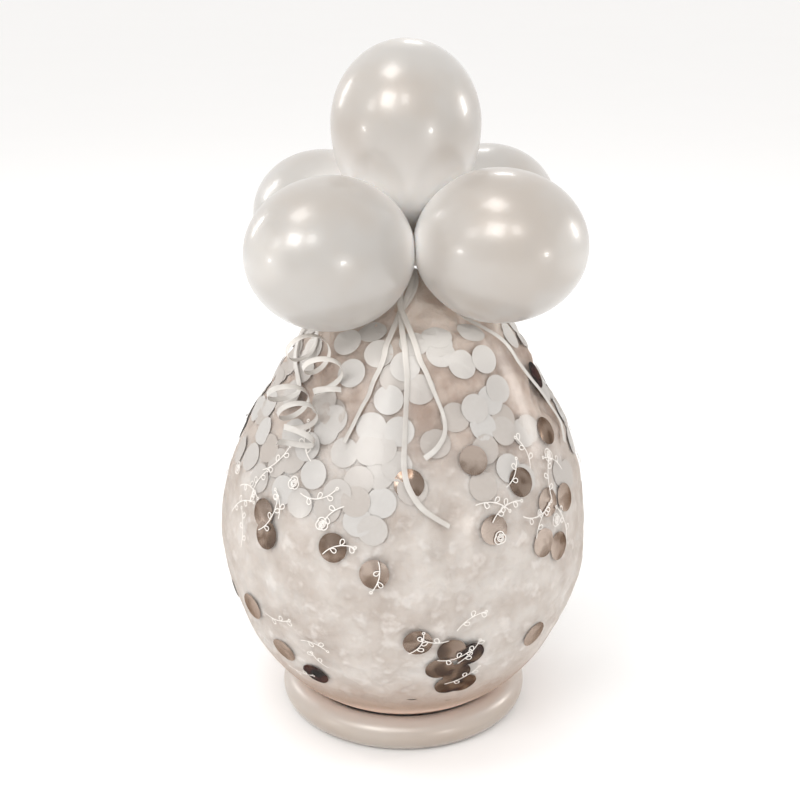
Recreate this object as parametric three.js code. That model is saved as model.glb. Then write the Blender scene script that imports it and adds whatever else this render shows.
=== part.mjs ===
// Clear stuffed balloon on a ring balloon, topped by five small pearl balloons tied round its neck,
// with curling ribbons that hang from the tie over the film. Millimetres, +Z up, the front is -Y.
import * as THREE from 'three';

// Base ring: a long pearl balloon bent round, closed at the back by a pinch where its ends are tied.
const RING_RADIUS = 101;
const RING_TUBE = 14.5;
const RING_LIFT = 14;
const RING_PINCH = 0.45;
const RING_PINCH_SPREAD = 0.13;
const RING_SEGMENTS = 48;
const RING_SIDES = 12;

// Clear balloon: an egg with its long end up, drawn in to a gathered neck that leans a little to the right.
const BELLY_RADIUS = 170;
const BELLY_HEIGHT = 177.6;
const BELLY_DEPTH = 180;
const SEAT_RADIUS = 91;
const FLOOR_GAP = 5;
const NECK_HEIGHT = 423;
const NECK_RADIUS = 8;
const NECK_LEAN = 6;
const TAIL_HEIGHT = 442;
const TAIL_RADIUS = 7;
const PLEATS = 10;
const PLEAT_DEPTH = 0.3;
const PLEATS_FROM = 388;
const FILM_SEGMENTS = 40;

// Radius and height of the shoulder, from the belly up to the neck.
const SHOULDER = [
  [BELLY_RADIUS, BELLY_HEIGHT],
  [166, 218],
  [152, 266],
  [126, 314],
  [103, 354],
  [86, 374],
  [64, 384],
  [40, 395],
  [20, 410],
  [NECK_RADIUS, NECK_HEIGHT],
];

// Neck tie: turns of ribbon wound round the neck.
const TIE_BOTTOM = 423.5;
const TIE_TURNS = 2;
const TIE_TURN_HEIGHT = 3;
const TIE_INNER = NECK_RADIUS + 0.4;
const TIE_OUTER = 12;
const TIE_GROOVE = 0.8;
const TIE_SEGMENTS = 20;

// Pearl balloons: five small round balloons, pear-shaped towards the knot.
const PEARL_RADIUS = 63.5;
const PEARL_NECK_RADIUS = 4.5;
const PEARL_TAPER = 2;
const PEARL_FULLNESS = 0.65;
const PEARL_SEGMENTS = 22;
const KNOT_LENGTH = 8;
const KNOT_RADIUS = 5;
const KNOT_WAIST = 3.5;
const TOP_CROWN = 70;
const TOP_NECK = 92;
const TOP_CENTRE = new THREE.Vector3(2, 0, 544);
const TOP_CONTACT = 71;
const TOP_CONTACT_SLOPE = THREE.MathUtils.degToRad(43);
const SIDE_CROWN = 79;
const SIDE_NECK = 78;
const SIDE_DISTANCE = 96;
const SIDE_TILT = THREE.MathUtils.degToRad(8);
const CLUSTER_TURN = THREE.MathUtils.degToRad(3);
const CONTACT_GAP = 0.25;

// Bearing in degrees from the cluster's front, to the right, and centre height of each side balloon.
const SIDE_PEARLS = [
  ['front_left', -45, 450],
  ['front_right', 45, 455],
  ['back_right', 135, 450],
  ['back_left', -135, 446],
];

// Ribbons: flat polypropylene ribbon. Each route point is a bearing in degrees from the front, a height,
// and the lift of the ribbon's middle above the film.
const RIBBON_WIDTH = 5;
const RIBBON_THICKNESS = 0.8;
const RIBBON_STEP = 13;
const CURL_DIAMETER = 26;
const CURL_GAP = 1;
const CURL_SIDES = 10;
const CURL_STEPS = 8;

const RIBBONS = {
  ribbon_left: [
    [14, 421, 1], [10, 413, 1], [4, 407, 1], [-3, 400, 1], [-9, 394, 1], [-11, 388, 1], [-12, 382, 1],
    [-13, 375, 1], [-13, 368, 1], [-14, 360, 1], [-16, 350, 1], [-17, 340, 1], [-19, 330, 1],
    [-21, 317, 1], [-23, 304, 1],
  ],
  ribbon_middle: [
    [4, 421, 2.6], [2, 413, 2.6], [-2, 406, 2.6], [-6, 400, 2.6], [-8, 394, 2.6], [-7, 388, 2.6],
    [-5, 382, 2.6], [-3, 375, 2], [-2, 366, 1.2], [-1, 353, 1], [-1, 338, 1], [-1, 322, 1], [-1, 307, 1],
    [-1, 293, 1], [0, 280, 1], [2, 270, 1], [5, 260, 1], [9, 252, 1], [13, 245, 1],
  ],
  ribbon_right: [
    [-8, 421, 4.2], [-11, 413, 4.2], [-13, 406, 4.2], [-12, 400, 4.2], [-9, 394, 4.2], [-4, 388, 4.2],
    [0, 382, 4], [3, 375, 2.6], [5, 366, 1.4], [8, 356, 1], [10, 346, 1], [12, 336, 1], [13.5, 327, 1],
    [14, 318, 1], [13, 310, 1], [10, 302, 1], [6, 296, 1],
  ],
  ribbon_far_right: [
    [44, 421, 1], [40, 411, 1], [38, 404, 1], [41, 397, 1], [45, 391, 1], [48, 385, 1], [52, 378, 1],
    [57, 370, 1], [60, 361, 1], [61, 352, 1], [63, 343, 1], [66, 332, 1], [69, 322, 1], [72, 307, 1],
    [74, 292, 1], [72, 284, 1], [69, 277, 1],
  ],
  ribbon_upper_curl_stem: [
    [-64, 421, 1], [-66, 414, 1], [-68, 408, 1], [-70, 403, 1], [-71, 399, 1], [-71, 396, 1], [-71, 393, 1],
    [-71, 390, 1], [-70, 387, 1], [-69, 384, 1], [-68, 381, 1], [-66, 378, 1], [-64, 375, 1], [-62, 372, 1],
    [-60, 369, 1],
  ],
  ribbon_lower_curl_stem: [
    [-100, 421, 1], [-100, 414, 1], [-99, 408, 1], [-98, 402, 1], [-97, 397, 1], [-96, 392, 1],
    [-94, 387, 1], [-91, 382, 1], [-88, 377, 1], [-84, 371, 1], [-79, 365, 1], [-74, 358, 1],
    [-68, 351, 1], [-62, 344, 1], [-56, 338, 1],
  ],
};

// Bearing and height of places along the two curled lengths, which lie on the film.
const CURLS = {
  ribbon_upper_curl: [[-55, 364], [-44, 358], [-36, 349], [-29, 333]],
  ribbon_lower_curl: [[-51, 332], [-45, 322], [-39, 312], [-37, 300], [-37, 290]],
};

const PEARL_WHITE = new THREE.MeshStandardMaterial({ color: 0xe6dfd9, roughness: 0.28, metalness: 0.1 });
const CLEAR_FILM = new THREE.MeshStandardMaterial({ color: 0xded3ca, roughness: 0.08, metalness: 0 });
const RIBBON_WHITE = new THREE.MeshStandardMaterial({ color: 0xf2eeea, roughness: 0.35, metalness: 0 });

const UP = new THREE.Vector3(0, 0, 1);

// Turns a profile of radius and height points round the Z axis.
function lathe(points, segments) {
  const profile = points.map(([radius, height]) => new THREE.Vector2(radius, height));
  return new THREE.LatheGeometry(profile, segments).rotateX(Math.PI / 2);
}

// Moves every vertex of a geometry by a function that changes the vector it is given.
function reshape(geometry, change) {
  const position = geometry.attributes.position;
  const vertex = new THREE.Vector3();
  for (let i = 0; i < position.count; i += 1) {
    change(vertex.fromBufferAttribute(position, i));
    position.setXYZ(i, vertex.x, vertex.y, vertex.z);
  }
  return geometry;
}

// The ring's tube is round with a flat foot, and thins to the pinch at the back.
function baseRing() {
  const section = [];
  for (let side = 0; side <= RING_SIDES; side += 1) {
    const angle = ((side % RING_SIDES) - 0.5) * (2 * Math.PI / RING_SIDES);
    section.push([RING_RADIUS + RING_TUBE * Math.cos(angle), RING_TUBE * Math.sin(angle)]);
  }
  return reshape(lathe(section, RING_SEGMENTS), (vertex) => {
    const radius = Math.hypot(vertex.x, vertex.y);
    const fromBack = Math.atan2(vertex.x, vertex.y);
    const pinch = 1 - RING_PINCH * Math.exp(-((fromBack / RING_PINCH_SPREAD) ** 2));
    const drawn = (RING_RADIUS + (radius - RING_RADIUS) * pinch) / radius;
    const height = RING_LIFT + vertex.z * pinch;
    vertex.set(vertex.x * drawn, vertex.y * drawn, Math.max(height, 0));
  });
}

// Sideways lean of the clear balloon's axis at a height.
function leanAt(height) {
  return NECK_LEAN * THREE.MathUtils.smoothstep(height, BELLY_HEIGHT, NECK_HEIGHT);
}

const shoulderKnots = SHOULDER.map(([radius, height]) => new THREE.Vector2(radius, height));
const shoulderCurve = new THREE.SplineCurve(shoulderKnots);

// Radius and height of the film from its underside to the end of the tail above the tie.
function filmProfile() {
  const seatAngle = Math.asin(SEAT_RADIUS / BELLY_RADIUS);
  const seatHeight = BELLY_HEIGHT - BELLY_DEPTH * Math.cos(seatAngle);
  const seatSlope = (BELLY_DEPTH / BELLY_RADIUS) * Math.tan(seatAngle);
  const capPower = (seatSlope * SEAT_RADIUS) / (seatHeight - FLOOR_GAP);
  const points = [];
  const capSteps = 4;
  for (let i = 0; i < capSteps; i += 1) {
    const share = i / capSteps;
    points.push([SEAT_RADIUS * share, FLOOR_GAP + (seatHeight - FLOOR_GAP) * share ** capPower]);
  }
  const bellySteps = 9;
  for (let i = 0; i < bellySteps; i += 1) {
    const angle = THREE.MathUtils.lerp(seatAngle, Math.PI / 2, i / bellySteps);
    points.push([BELLY_RADIUS * Math.sin(angle), BELLY_HEIGHT - BELLY_DEPTH * Math.cos(angle)]);
  }
  const shoulderSteps = 18;
  for (const point of shoulderCurve.getPoints(shoulderSteps)) {
    points.push([point.x, point.y]);
  }
  points.push([TAIL_RADIUS, TIE_BOTTOM + TIE_TURNS * TIE_TURN_HEIGHT]);
  points.push([TAIL_RADIUS, TAIL_HEIGHT]);
  points.push([0, TAIL_HEIGHT]);
  return points;
}

// The film is drawn into folds towards the neck, and its axis leans.
function clearBalloon() {
  return reshape(lathe(filmProfile(), FILM_SEGMENTS), (vertex) => {
    const fold = 0.5 - 0.5 * Math.cos(PLEATS * Math.atan2(vertex.y, vertex.x));
    const drawn = 1 - PLEAT_DEPTH * fold * THREE.MathUtils.smoothstep(vertex.z, PLEATS_FROM, NECK_HEIGHT);
    vertex.set(vertex.x * drawn + leanAt(vertex.z), vertex.y * drawn, vertex.z);
  });
}

// Point of the film at a bearing and height, and the direction that faces straight out of it.
const SHOULDER_SAMPLES = 200;
const shoulderPoints = shoulderCurve.getPoints(SHOULDER_SAMPLES);

function filmRadius(height) {
  if (height <= BELLY_HEIGHT) {
    return BELLY_RADIUS * Math.sqrt(1 - ((BELLY_HEIGHT - height) / BELLY_DEPTH) ** 2);
  }
  const above = shoulderPoints.findIndex((point) => point.y >= height);
  const low = shoulderPoints[above - 1];
  const high = shoulderPoints[above];
  return THREE.MathUtils.mapLinear(height, low.y, high.y, low.x, high.x);
}

function filmPoint(bearing, height, lift) {
  const angle = THREE.MathUtils.degToRad(bearing);
  const slopeStep = 1;
  const slope = (filmRadius(height - slopeStep) - filmRadius(height + slopeStep)) / (2 * slopeStep);
  const outward = new THREE.Vector3(Math.sin(angle), -Math.cos(angle), slope).normalize();
  const radius = filmRadius(height);
  const point = new THREE.Vector3(radius * Math.sin(angle), -radius * Math.cos(angle), height);
  point.x += leanAt(height);
  return { point: point.addScaledVector(outward, lift), outward };
}

// Turns of ribbon side by side, with a groove between them.
function neckTie() {
  const section = [[TIE_INNER, 0]];
  for (let turn = 0; turn < TIE_TURNS; turn += 1) {
    section.push([TIE_OUTER - TIE_GROOVE, turn * TIE_TURN_HEIGHT]);
    section.push([TIE_OUTER, (turn + 0.5) * TIE_TURN_HEIGHT]);
  }
  section.push([TIE_OUTER - TIE_GROOVE, TIE_TURNS * TIE_TURN_HEIGHT]);
  section.push([TIE_INNER, TIE_TURNS * TIE_TURN_HEIGHT]);
  section.push([TIE_INNER, 0]);
  return lathe(section, TIE_SEGMENTS).translate(NECK_LEAN, 0, TIE_BOTTOM);
}

// A pear-shaped balloon along +Z with its widest place at the origin: the knot below, the crown above.
function pearl(crown, neck) {
  const points = [
    [0, -neck - KNOT_LENGTH],
    [KNOT_RADIUS, -neck - KNOT_LENGTH],
    [KNOT_RADIUS, -neck - KNOT_LENGTH / 2],
    [KNOT_WAIST, -neck - KNOT_LENGTH / 4],
  ];
  const neckSteps = 8;
  for (let i = 0; i < neckSteps; i += 1) {
    const share = Math.cos((i / neckSteps) * (Math.PI / 2));
    const body = (1 - share ** PEARL_TAPER) ** PEARL_FULLNESS;
    points.push([PEARL_NECK_RADIUS + (PEARL_RADIUS - PEARL_NECK_RADIUS) * body, -neck * share]);
  }
  const crownSteps = 7;
  for (let i = 0; i < crownSteps; i += 1) {
    const angle = (i / crownSteps) * (Math.PI / 2);
    points.push([PEARL_RADIUS * Math.cos(angle), crown * Math.sin(angle)]);
  }
  points.push([0, crown]);
  return lathe(points, PEARL_SEGMENTS);
}

// Flattens what stands past a plane onto it; the plane is a place and the direction that faces out of it.
function press(vertex, place, outward) {
  const past = vertex.clone().sub(place).dot(outward);
  if (past > 0) {
    vertex.addScaledVector(outward, -past);
  }
}

// The plane in which the top balloon and the side balloon at a bearing press on each other.
function topContact(bearing) {
  const angle = THREE.MathUtils.degToRad(bearing) + CLUSTER_TURN;
  const level = Math.cos(TOP_CONTACT_SLOPE);
  const drop = Math.sin(TOP_CONTACT_SLOPE);
  const down = new THREE.Vector3(level * Math.sin(angle), -level * Math.cos(angle), -drop);
  return { down, place: TOP_CENTRE.clone().addScaledVector(down, TOP_CONTACT) };
}

// A side balloon points outwards at its bearing, tilted up, and is flat where its neighbours press on it.
function sidePearl(bearing, height) {
  const angle = THREE.MathUtils.degToRad(bearing);
  const out = new THREE.Vector3(Math.sin(angle), -Math.cos(angle), Math.tan(SIDE_TILT)).normalize();
  const turn = new THREE.Quaternion().setFromUnitVectors(UP, out);
  const place = new THREE.Matrix4().makeRotationFromQuaternion(turn);
  place.setPosition(SIDE_DISTANCE * Math.sin(angle), -SIDE_DISTANCE * Math.cos(angle), height);
  const right = Math.sign(Math.sin(angle));
  const back = Math.sign(-Math.cos(angle));
  const pearlInPlace = reshape(pearl(SIDE_CROWN, SIDE_NECK).applyMatrix4(place), (vertex) => {
    vertex.x = right * Math.max(vertex.x * right, CONTACT_GAP);
    vertex.y = back * Math.max(vertex.y * back, CONTACT_GAP);
  });
  const contact = topContact(bearing);
  contact.place.addScaledVector(contact.down, CONTACT_GAP);
  return reshape(pearlInPlace.rotateZ(CLUSTER_TURN).translate(NECK_LEAN, 0, 0), (vertex) => {
    press(vertex, contact.place, contact.down.clone().negate());
  });
}

// The top balloon stands in the hollow between the four side balloons, which flatten its lower half.
function topPearl() {
  const contacts = SIDE_PEARLS.map(([, bearing]) => topContact(bearing));
  return reshape(pearl(TOP_CROWN, TOP_NECK).translate(...TOP_CENTRE), (vertex) => {
    for (const contact of contacts) {
      press(vertex, contact.place, contact.down);
    }
  });
}

// A flat ribbon with rounded edges, laid on the film along its route.
function ribbon(route) {
  const laid = route.map(([bearing, height, lift]) => filmPoint(bearing, height, lift));
  const middle = new THREE.CatmullRomCurve3(laid.map((place) => place.point));
  const facing = new THREE.CatmullRomCurve3(laid.map((place) => place.outward));
  const half = RIBBON_WIDTH / 2;
  const rise = RIBBON_THICKNESS / 2;
  const edge = half - rise;
  const section = new THREE.Shape([
    new THREE.Vector2(half, 0),
    new THREE.Vector2(edge, rise),
    new THREE.Vector2(0, rise),
    new THREE.Vector2(-edge, rise),
    new THREE.Vector2(-half, 0),
    new THREE.Vector2(-edge, -rise),
    new THREE.Vector2(0, -rise),
    new THREE.Vector2(edge, -rise),
  ]);
  const steps = Math.round(middle.getLength() / RIBBON_STEP);
  const strip = new THREE.ExtrudeGeometry(section, { depth: 1, steps, bevelEnabled: false });
  return reshape(strip, (vertex) => {
    const along = middle.getUtoTmapping(vertex.z);
    const point = middle.getPoint(along);
    const tangent = middle.getTangent(along);
    const across = new THREE.Vector3().crossVectors(facing.getPoint(along), tangent).normalize();
    const outward = new THREE.Vector3().crossVectors(tangent, across);
    vertex.copy(point.addScaledVector(across, vertex.x).addScaledVector(outward, vertex.y));
  });
}

// The space that a curled ribbon fills: a tube as wide as its curls, resting on the film.
function curl(ends) {
  const lift = CURL_DIAMETER / 2 + CURL_GAP;
  const route = new THREE.SplineCurve(ends.map(([bearing, height]) => new THREE.Vector2(bearing, height)));
  const places = route.getPoints(CURL_STEPS).map((place) => filmPoint(place.x, place.y, lift).point);
  const path = new THREE.CatmullRomCurve3(places);
  const section = new THREE.Shape();
  section.absarc(0, 0, CURL_DIAMETER / 2, 0, 2 * Math.PI);
  const options = { steps: CURL_STEPS, curveSegments: CURL_SIDES / 2, extrudePath: path };
  return new THREE.ExtrudeGeometry(section, options);
}

const balloon = new THREE.Group();

function addPiece(name, geometry, material) {
  const mesh = new THREE.Mesh(geometry, material);
  mesh.name = name;
  balloon.add(mesh);
}

addPiece('base_ring', baseRing(), PEARL_WHITE);
addPiece('clear_balloon', clearBalloon(), CLEAR_FILM);
addPiece('neck_tie', neckTie(), RIBBON_WHITE);
addPiece('pearl_balloon_top', topPearl(), PEARL_WHITE);
for (const [place, bearing, height] of SIDE_PEARLS) {
  addPiece(`pearl_balloon_${place}`, sidePearl(bearing, height), PEARL_WHITE);
}
for (const [name, route] of Object.entries(RIBBONS)) {
  addPiece(name, ribbon(route), RIBBON_WHITE);
}
for (const [name, ends] of Object.entries(CURLS)) {
  addPiece(name, curl(ends), RIBBON_WHITE);
}

export default balloon;
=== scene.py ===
"""A clear stuffed gift balloon on a ring, tied off with a cluster of small pearl balloons and curling ribbon.

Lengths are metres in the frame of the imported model: +Z is up and the front of the balloon faces -Y.
"""

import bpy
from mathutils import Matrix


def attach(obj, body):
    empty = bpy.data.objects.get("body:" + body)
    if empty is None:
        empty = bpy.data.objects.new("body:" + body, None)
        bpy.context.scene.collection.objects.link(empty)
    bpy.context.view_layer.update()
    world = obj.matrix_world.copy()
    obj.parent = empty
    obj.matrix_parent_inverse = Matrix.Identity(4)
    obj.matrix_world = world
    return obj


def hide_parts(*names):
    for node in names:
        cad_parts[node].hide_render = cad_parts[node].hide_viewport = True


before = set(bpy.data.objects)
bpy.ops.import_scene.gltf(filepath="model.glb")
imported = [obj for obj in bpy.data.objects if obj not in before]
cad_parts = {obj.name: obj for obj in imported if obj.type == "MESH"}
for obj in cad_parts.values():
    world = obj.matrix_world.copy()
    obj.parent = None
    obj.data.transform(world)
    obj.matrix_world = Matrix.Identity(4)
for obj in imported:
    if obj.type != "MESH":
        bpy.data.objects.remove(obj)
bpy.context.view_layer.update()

import math

import bpy
import numpy as np
from mathutils import Matrix, Vector, noise

# Camera: it stands in front of the balloon and looks down on it a little, as the photograph was taken.
# The focal length and the balloon's axis are in pixels of the photograph, which is square.
PICTURE_PIXELS = 800
FOCAL_PIXELS = 1387.4
AXIS_PIXEL = 403.5
VIEW_ELEVATION = math.radians(20.19)
VIEW_DISTANCE = 1.2503
VIEW_HEIGHT = 0.29675
SENSOR_WIDTH_MM = 36

view_right = np.array([1.0, 0.0, 0.0])
view_up = np.array([0.0, math.sin(VIEW_ELEVATION), math.cos(VIEW_ELEVATION)])
view_back = np.array([0.0, -math.cos(VIEW_ELEVATION), math.sin(VIEW_ELEVATION)])
view_place = np.array([0.0, 0.0, VIEW_HEIGHT]) + VIEW_DISTANCE * view_back

camera_lens = bpy.data.cameras.new("photo_camera")
camera_lens.sensor_width = SENSOR_WIDTH_MM
camera_lens.lens = FOCAL_PIXELS / PICTURE_PIXELS * SENSOR_WIDTH_MM
camera_lens.shift_x = 0.5 - AXIS_PIXEL / PICTURE_PIXELS
camera = bpy.data.objects.new("photo_camera", camera_lens)
camera.location = view_place
camera.rotation_euler = (math.pi / 2 - VIEW_ELEVATION, 0, 0)
bpy.context.scene.collection.objects.link(camera)
bpy.context.scene.camera = camera

# Base ring: a long pearl latex balloon blown up thin and bent round until its ends meet at the back.
# The two ends are twisted together there, which pinches the tube and wrinkles it.
RING_RADIUS = 0.101
RING_TUBE = 0.0145
RING_LIFT = 0.014
RING_PINCH = 0.45
RING_PINCH_SPREAD = 0.13
RING_WRINKLES = 9
RING_WRINKLE_DEPTH = 0.16
RING_WRINKLE_SPREAD = 0.24
RING_WRINKLE_SKEW = 5
RING_SWELLS = ((0.008, 3, 0.7), (0.005, 8, 0.0))
# The tube's side towards the film is painted lighter: painted light against the shade between the tube and
# the film.
RING_PAINTED_LIGHT_SIDE = math.radians(132)
RING_PAINTED_LIGHT = 0.6
RING_STEPS = 216
RING_SIDES = 40
TWIST_RADIUS = 0.0021
TWIST_SEAT = 0.0082
TWIST_FOLDS = 3
TWIST_FOLD_DEPTH = 0.18
TWIST_LAY = 6
TWIST_WANDER = 0.0012
TWIST_STEPS = 48
TWIST_SIDES = 16
SHARP_ANGLE = math.radians(50)


def full_turn(steps):
    """Angles of even steps round one full turn."""
    return np.linspace(0, 2 * math.pi, steps, endpoint=False)


def grid_skin(grid, round_rows=False, round_columns=True, cap_first=False, cap_last=False):
    """Vertices and faces of a skin over a grid of points, with a fan over its first or last row."""
    rows, columns = grid.shape[:2]
    vertices = grid.reshape(-1, 3).tolist()
    faces = []
    for row in range(rows if round_rows else rows - 1):
        for column in range(columns if round_columns else columns - 1):
            above = (row + 1) % rows
            beside = (column + 1) % columns
            corners = ((row, column), (row, beside), (above, beside), (above, column))
            faces.append([r * columns + c for r, c in corners])
    for row, wanted in ((0, cap_first), (rows - 1, cap_last)):
        if wanted:
            middle = len(vertices)
            vertices.append(grid[row].mean(axis=0).tolist())
            for column in range(columns):
                edge = [row * columns + column, row * columns + (column + 1) % columns]
                faces.append([middle] + (edge if row else edge[::-1]))
    return vertices, faces


def join_skins(skins):
    """One list of vertices and one of faces from several skins."""
    vertices = []
    faces = []
    for skin_vertices, skin_faces in skins:
        start = len(vertices)
        vertices += skin_vertices
        faces += [[start + corner for corner in face] for face in skin_faces]
    return vertices, faces


def add_piece(name, skin, material, **marks):
    """A smooth mesh piece of the balloon; each mark is a number for every vertex that its material reads."""
    vertices, faces = skin
    mesh = bpy.data.meshes.new(name)
    mesh.from_pydata(vertices, [], faces)
    mesh.shade_smooth()
    mesh.set_sharp_from_angle(angle=SHARP_ANGLE)
    mesh.materials.append(material)
    for mark, values in marks.items():
        mesh.attributes.new(mark, "FLOAT", "POINT").data.foreach_set("value", np.asarray(values, np.float32))
    piece = bpy.data.objects.new(name, mesh)
    bpy.context.scene.collection.objects.link(piece)
    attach(piece, "root")
    return piece


class Finish:
    """A material with one main shader, and short ways to add the nodes that vary it."""

    def __init__(self, name, **values):
        self.material = bpy.data.materials.new(name)
        self.material.use_nodes = True
        self.tree = self.material.node_tree
        self.shader = self.tree.nodes["Principled BSDF"]
        for socket, value in values.items():
            self.shader.inputs[socket.replace("_", " ")].default_value = value

    def node(self, kind, **settings):
        made = self.tree.nodes.new(kind)
        for name, value in settings.items():
            setattr(made, name, value)
        return made

    def link(self, source, target):
        self.tree.links.new(source, target)

    def place(self):
        return self.node("ShaderNodeTexCoord").outputs["Object"]

    def noise(self, scale, detail=2.0, roughness=0.5):
        """Noise fixed to the piece; the scale is in waves a metre."""
        made = self.node("ShaderNodeTexNoise")
        made.inputs["Scale"].default_value = scale
        made.inputs["Detail"].default_value = detail
        made.inputs["Roughness"].default_value = roughness
        self.link(self.place(), made.inputs["Vector"])
        return made.outputs["Fac"]

    def mark(self, name):
        return self.node("ShaderNodeAttribute", attribute_name=name).outputs["Fac"]

    def ramp(self, source, low, high, start=0.0, end=1.0):
        """A number that runs from start to end as the source runs from low to high."""
        made = self.node("ShaderNodeMapRange")
        for socket, value in (("From Min", low), ("From Max", high), ("To Min", start), ("To Max", end)):
            made.inputs[socket].default_value = value
        self.link(source, made.inputs["Value"])
        return made.outputs["Result"]

    def blend(self, share, first, second):
        """A colour that goes from the first to the second by the share; each is a colour or a socket."""
        made = self.node("ShaderNodeMix", data_type="RGBA")
        self.link(share, made.inputs["Factor"])
        for socket, colour in (("A", first), ("B", second)):
            target = [s for s in made.inputs if s.name == socket and s.type == "RGBA"][0]
            if isinstance(colour, tuple):
                target.default_value = (*colour, 1.0)
            else:
                self.link(colour, target)
        return [s for s in made.outputs if s.type == "RGBA"][0]

    def colour(self, source):
        self.link(source, self.shader.inputs["Base Color"])

    def roughness(self, source):
        self.link(source, self.shader.inputs["Roughness"])

    def bump(self, source, strength, depth):
        made = self.node("ShaderNodeBump")
        made.inputs["Strength"].default_value = strength
        made.inputs["Distance"].default_value = depth
        self.link(source, made.inputs["Height"])
        self.link(made.outputs["Normal"], self.shader.inputs["Normal"])


# Pearl latex has mica in it: a soft satin shine under a thin clear gloss, whiter where it is stretched less;
# at the slack necks where the balloons meet this whiter tone is also painted light.
# Where balloons crowd together the colour is painted lighter still, a painted light that keeps those places
# from going dark.
RING_LIGHT = (0.42, 0.37, 0.325)
RING_WARM = (0.385, 0.32, 0.27)
PEARL_SLACK_AND_PAINTED_LIGHT = (0.68, 0.66, 0.63)
PEARL_PAINTED_LIGHT = (0.97, 0.955, 0.935)
PEARL_CLOUDS = 11
PEARL_SATIN_SPOTS = 45
PEARL_DIMPLES = 28
RING_GLOSS = 0.42


def pearl_finish(name, gloss_roughness, light, warm):
    """Pearl latex that clouds from a light to a warm tone, under a gloss as rough as it says."""
    finish = Finish(
        name, Metallic=0.2, IOR=1.5, Specular_IOR_Level=0.5, Coat_Weight=0.42, Coat_Roughness=gloss_roughness,
        Subsurface_Weight=0.7, Subsurface_Scale=0.035, Subsurface_Radius=(1.0, 0.9, 0.8),
        Sheen_Weight=0.15, Sheen_Roughness=0.4,
    )
    cloud = finish.ramp(finish.noise(PEARL_CLOUDS, detail=3), 0.38, 0.66)
    # The slack tone is the latex's own whiter tone where it is stretched less, and at the necks where
    # balloons meet it is also painted light.
    tone = finish.blend(finish.mark("slack"), finish.blend(cloud, light, warm), PEARL_SLACK_AND_PAINTED_LIGHT)
    # Painted light: where balloons crowd together the colour goes lighter, against the shade there.
    finish.colour(finish.blend(finish.mark("crowding"), tone, PEARL_PAINTED_LIGHT))
    finish.roughness(finish.ramp(finish.noise(PEARL_SATIN_SPOTS, detail=1), 0.3, 0.7, 0.28, 0.36))
    finish.bump(finish.noise(PEARL_DIMPLES, detail=1), 0.05, 0.004)
    return finish.material


ring_latex = pearl_finish("ring_latex", RING_GLOSS, RING_LIGHT, RING_WARM)


def ring_tube():
    """The ring's points, round the ring and round its tube, how slack each is, and how much painted light
    each gets.
    """
    around = full_turn(RING_STEPS)[:, None]
    side = full_turn(RING_SIDES)[None, :]
    from_back = np.arctan2(np.sin(around), np.cos(around))
    painted_light_share = RING_PAINTED_LIGHT * (0.5 + 0.5 * np.cos(side - RING_PAINTED_LIGHT_SIDE)) ** 2
    pinch = 1 - RING_PINCH * np.exp(-((from_back / RING_PINCH_SPREAD) ** 2))
    slack = np.exp(-((from_back / RING_WRINKLE_SPREAD) ** 2))
    crease = 0.5 - 0.5 * np.cos(RING_WRINKLES * side + RING_WRINKLE_SKEW * from_back)
    wrinkles = 1 - RING_WRINKLE_DEPTH * slack * crease
    swell = 1 + sum(size * np.sin(waves * around + start) for size, waves, start in RING_SWELLS)
    tube = RING_TUBE * pinch * wrinkles * np.minimum(swell, 1.0)
    radius = RING_RADIUS + tube * np.cos(side)
    height = np.maximum(RING_LIFT + tube * np.sin(side), 0.0)
    points = np.stack([radius * np.sin(around), radius * np.cos(around), height], axis=2)
    slack = np.broadcast_to(slack, radius.shape).ravel()
    painted_light_share = np.broadcast_to(painted_light_share, radius.shape).ravel()
    return points, slack, painted_light_share


def ring_twist():
    """The ends of the ring balloon, twisted into one turn round the pinch."""
    around = full_turn(TWIST_STEPS)[:, None]
    side = full_turn(TWIST_SIDES)[None, :]
    thick = TWIST_RADIUS * (1 + TWIST_FOLD_DEPTH * np.cos(TWIST_FOLDS * side + TWIST_LAY * around))
    seat = TWIST_SEAT + thick * np.cos(side)
    along = thick * np.sin(side) + TWIST_WANDER * np.sin(around)
    up = RING_LIFT + seat * np.sin(around)
    return np.stack([along, RING_RADIUS + seat * np.cos(around), up], axis=2)


ring_points, ring_slack, ring_crowding = ring_tube()
ring_skin = grid_skin(ring_points, round_rows=True)
twist_skin = grid_skin(ring_twist(), round_rows=True)
twist_points = len(twist_skin[0])
base_ring = add_piece(
    "base_ring_latex", join_skins([ring_skin, twist_skin]), ring_latex,
    slack=np.append(ring_slack, np.ones(twist_points)),
    crowding=np.append(ring_crowding, np.zeros(twist_points)),
)
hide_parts("base_ring")

# Clear balloon: one bubble of thin stretched film, blown up to an egg with its long end up.
# It sinks into the ring, and its open end is gathered into folds and tied off at the neck.
BELLY_RADIUS = 0.170
BELLY_HEIGHT = 0.1776
BELLY_DEPTH = 0.180
SEAT_RADIUS = 0.091
FLOOR_GAP = 0.005
NECK_HEIGHT = 0.423
NECK_RADIUS = 0.008
NECK_LEAN = 0.006
TAIL_RADIUS = 0.007
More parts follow.
